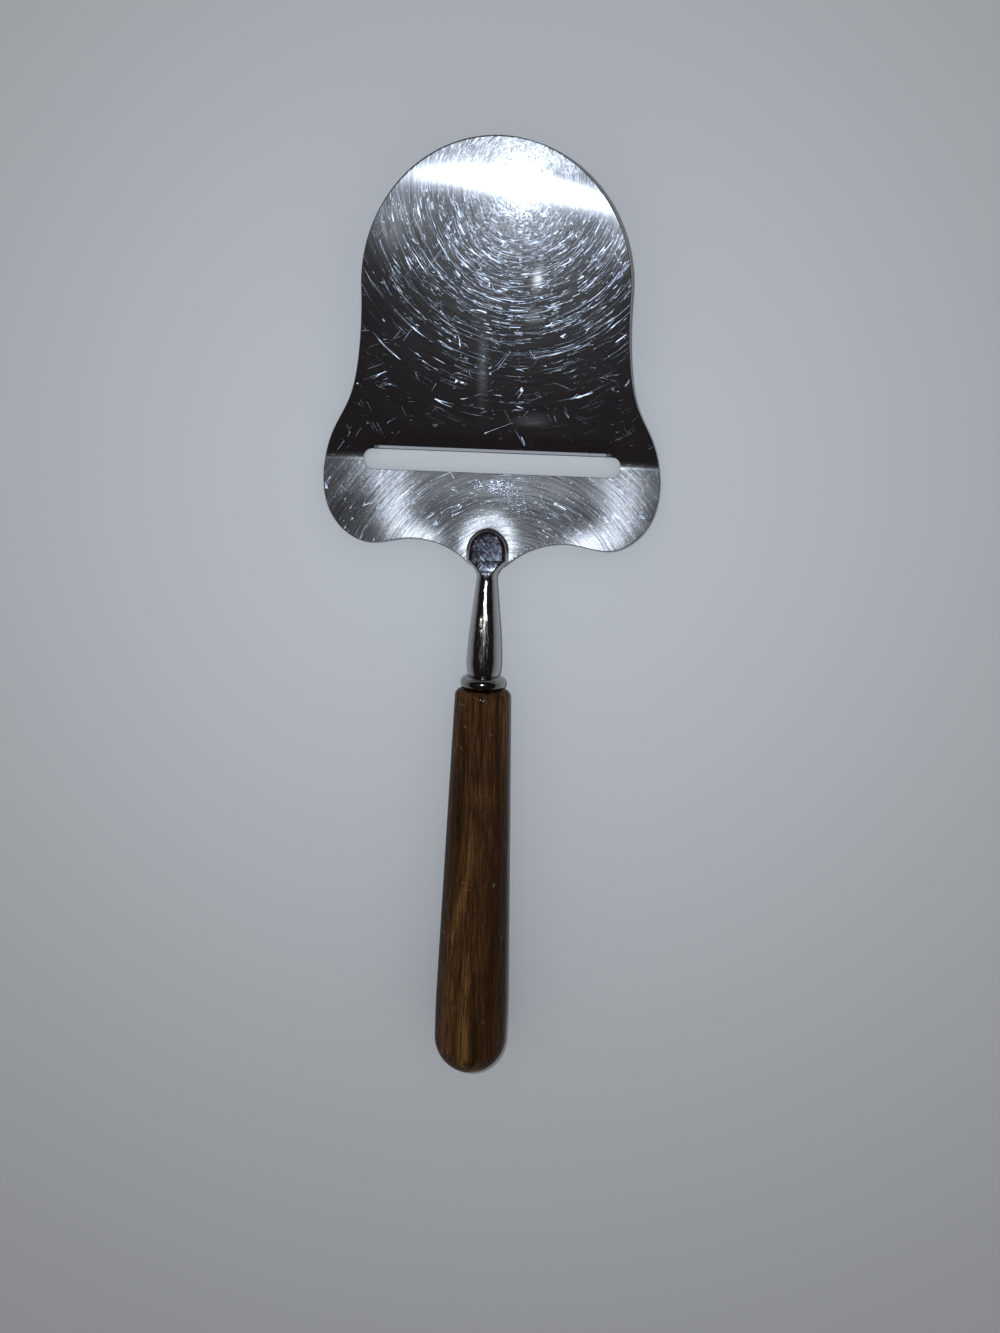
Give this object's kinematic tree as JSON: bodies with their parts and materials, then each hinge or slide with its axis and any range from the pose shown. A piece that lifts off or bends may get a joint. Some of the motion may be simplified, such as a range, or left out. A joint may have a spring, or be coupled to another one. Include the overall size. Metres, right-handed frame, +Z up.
{
  "type": "cheese slicer",
  "caption": "Cheese slicer with a bell-shaped pressed steel blade, a cross slot with a ground lip, a slim welded steel neck and a round wooden handle.",
  "frame": {"origin": "under the middle of the whole tool's box, on the surface that the tool lies on", "axes": "+X across the blade, +Y along the tool from the handle to the blade's tip, +Z up from the surface"},
  "size_m": [0.0786, 0.218, 0.0183],
  "materials": {
    "blade_steel": "polished stainless sheet with fine scratches",
    "neck_steel": "bright polished steel",
    "ring_steel": "bright polished steel",
    "handle_wood": "dark brown wood under clear lacquer",
    "adhesive": "cured epoxy glue, hidden"
  },
  "bodies": {
    "root": {"blade": "blade_steel", "neck": "neck_steel", "collar_ring": "ring_steel", "handle": "handle_wood", "tang_adhesive": "adhesive"}
  },
  "joints": []
}
